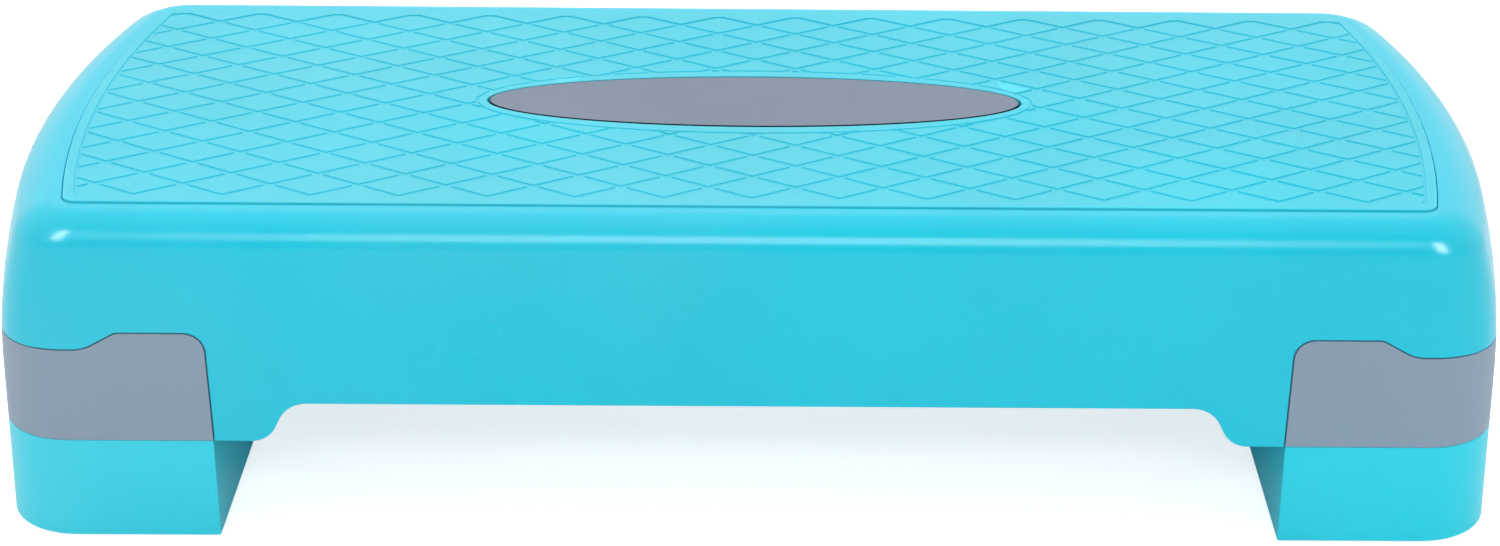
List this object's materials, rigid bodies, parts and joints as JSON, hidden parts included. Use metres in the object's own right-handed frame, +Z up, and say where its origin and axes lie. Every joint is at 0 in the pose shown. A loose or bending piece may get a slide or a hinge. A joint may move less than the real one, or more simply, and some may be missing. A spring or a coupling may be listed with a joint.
{
  "type": "two-level step platform",
  "caption": "Low bowed step platform with a diamond-patterned tread, an oval inlay, end bands and removable riser feet.",
  "frame": {"origin": "on the floor, under the middle of the deck", "axes": "+X along the long side, +Y from the front face to the back face, +Z up"},
  "size_m": [0.68, 0.28, 0.15],
  "materials": {
    "deck_plastic": "semi-gloss moulded polypropylene, sky cyan",
    "tread_rubber": "matte soft-touch tread, sky cyan",
    "inlay_plastic": "fine-grained matte grey plate",
    "band_plastic": "satin moulded polypropylene, blue-grey",
    "foot_plastic": "satin moulded polypropylene, sky cyan",
    "pad_rubber": "black rubber",
    "steel": "zinc-plated steel"
  },
  "bodies": {
    "deck": {"deck_shell": "deck_plastic", "grip_mat": "tread_rubber", "oval_inlay": "inlay_plastic", "inlay_push_nuts": "steel", "left_end_band": "band_plastic", "left_band_screws": "steel", "left_front_deck_pad": "pad_rubber", "left_back_deck_pad": "pad_rubber", "right_end_band": "band_plastic", "right_band_screws": "steel", "right_front_deck_pad": "pad_rubber", "right_back_deck_pad": "pad_rubber"},
    "left_foot": {"left_foot_shell": "foot_plastic", "left_front_inner_floor_pad": "pad_rubber", "left_back_inner_floor_pad": "pad_rubber", "left_front_outer_floor_pad": "pad_rubber", "left_back_outer_floor_pad": "pad_rubber"},
    "right_foot": {"right_foot_shell": "foot_plastic", "right_front_inner_floor_pad": "pad_rubber", "right_back_inner_floor_pad": "pad_rubber", "right_front_outer_floor_pad": "pad_rubber", "right_back_outer_floor_pad": "pad_rubber"}
  },
  "joints": [
    {"name": "left_foot_slide", "type": "slide", "parent": "deck", "child": "left_foot", "axis": [1, 0, 0], "range_m": [0, 0.024]},
    {"name": "right_foot_slide", "type": "slide", "parent": "deck", "child": "right_foot", "axis": [-1, 0, 0], "range_m": [0, 0.024]}
  ]
}
